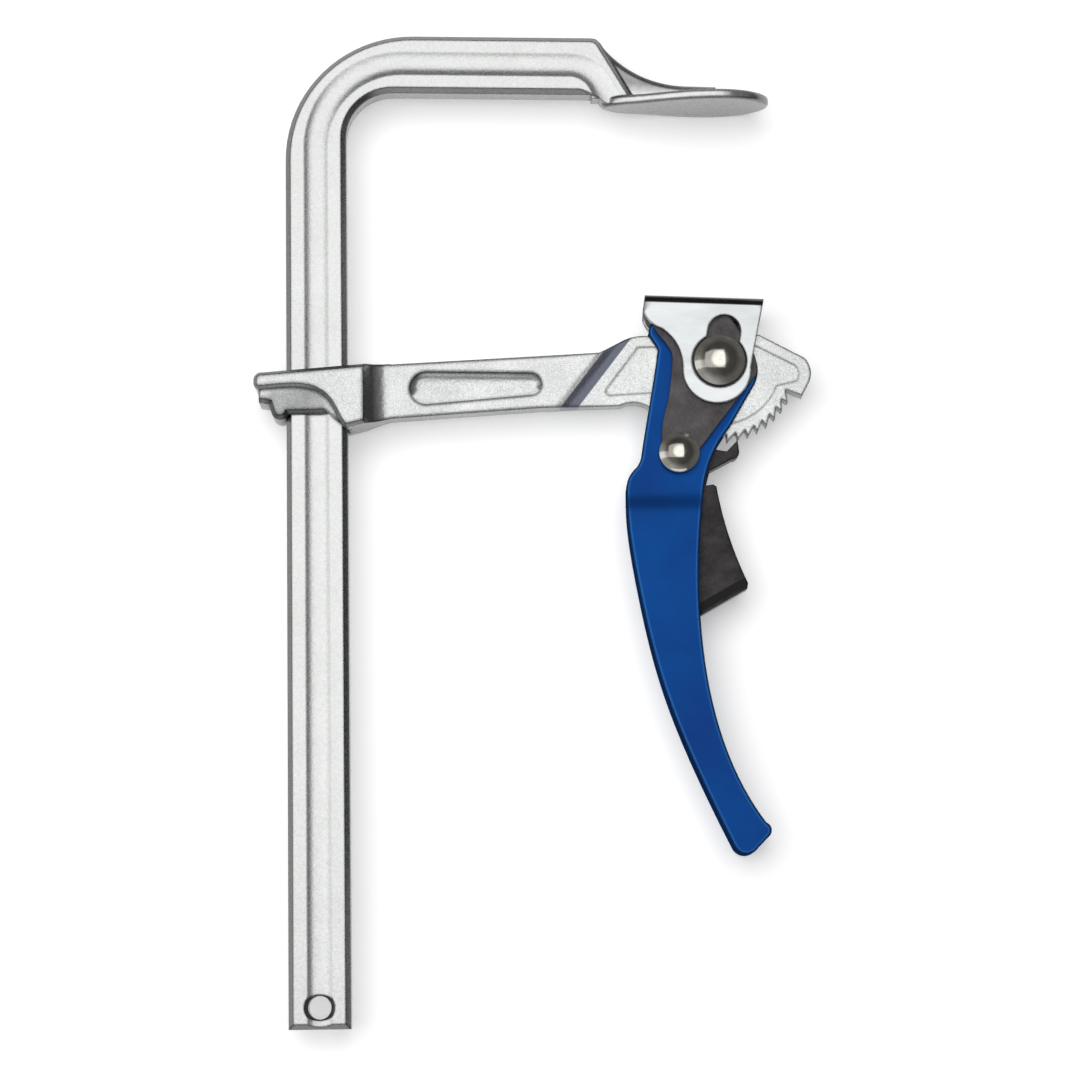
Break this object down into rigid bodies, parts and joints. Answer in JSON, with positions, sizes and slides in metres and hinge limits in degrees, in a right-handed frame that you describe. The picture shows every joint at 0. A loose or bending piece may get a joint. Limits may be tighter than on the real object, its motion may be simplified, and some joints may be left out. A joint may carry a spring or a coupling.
{
  "type": "lever clamp",
  "caption": "Steel bar clamp with a forged C-shaped bail and a sliding arm, tightened by squeezing a hinged handle that locks on a ratchet.",
  "frame": {"origin": "centre of the hanging hole in the rail's lower end, on the clamp's middle plane", "axes": "+Y along the rail towards the fixed jaw arm, +X towards the jaws, +Z square to the clamp's flat side along the hanging hole"},
  "size_m": [0.2196, 0.3927, 0.03],
  "materials": {
    "plated_steel": "satin zinc plate on a forging, fine grain",
    "chrome_sheet": "bright polished",
    "blue_paint": "gloss",
    "black_oxide": "satin black oxide",
    "polished_nickel": "bright polished",
    "spring_steel": "bright drawn wire"
  },
  "bodies": {
    "bail": {"bail": "plated_steel"},
    "sliding_arm": {"sliding_arm": "plated_steel"},
    "handle": {"handle": "blue_paint", "cam_plate_front": "black_oxide", "cam_plate_back": "black_oxide", "pivot_rivet": "polished_nickel", "pawl_rivet": "polished_nickel", "pawl_spring": "spring_steel"},
    "pressure_cap": {"pressure_cap": "chrome_sheet"},
    "release_pawl": {"release_pawl": "black_oxide"}
  },
  "joints": [
    {"name": "arm_slide", "type": "slide", "parent": "bail", "child": "sliding_arm", "axis": [0, 1, 0], "range_m": [-0.215, 0.0765]},
    {"name": "handle_pivot", "type": "hinge", "parent": "sliding_arm", "child": "handle", "pos_m": [0.1586, 0.2494, 0], "axis": [0, 0, 1], "range_deg": [0, 54.6]},
    {"name": "cap_slide", "type": "slide", "parent": "sliding_arm", "child": "pressure_cap", "axis": [0.184, 0.9829, 0], "range_m": [-0.0104, 0]},
    {"name": "pawl_pivot", "type": "hinge", "parent": "handle", "child": "release_pawl", "pos_m": [0.1422, 0.2134, 0], "axis": [0, 0, 1], "range_deg": [-8, 6], "stiffness_Nm_per_rad": 0.3, "springref_deg": 6, "deforming": ["pawl_spring"]}
  ],
  "couplings": [
    {"joint": "cap_slide", "follows": "handle_pivot", "m_per_rad": -0.010913}
  ]
}
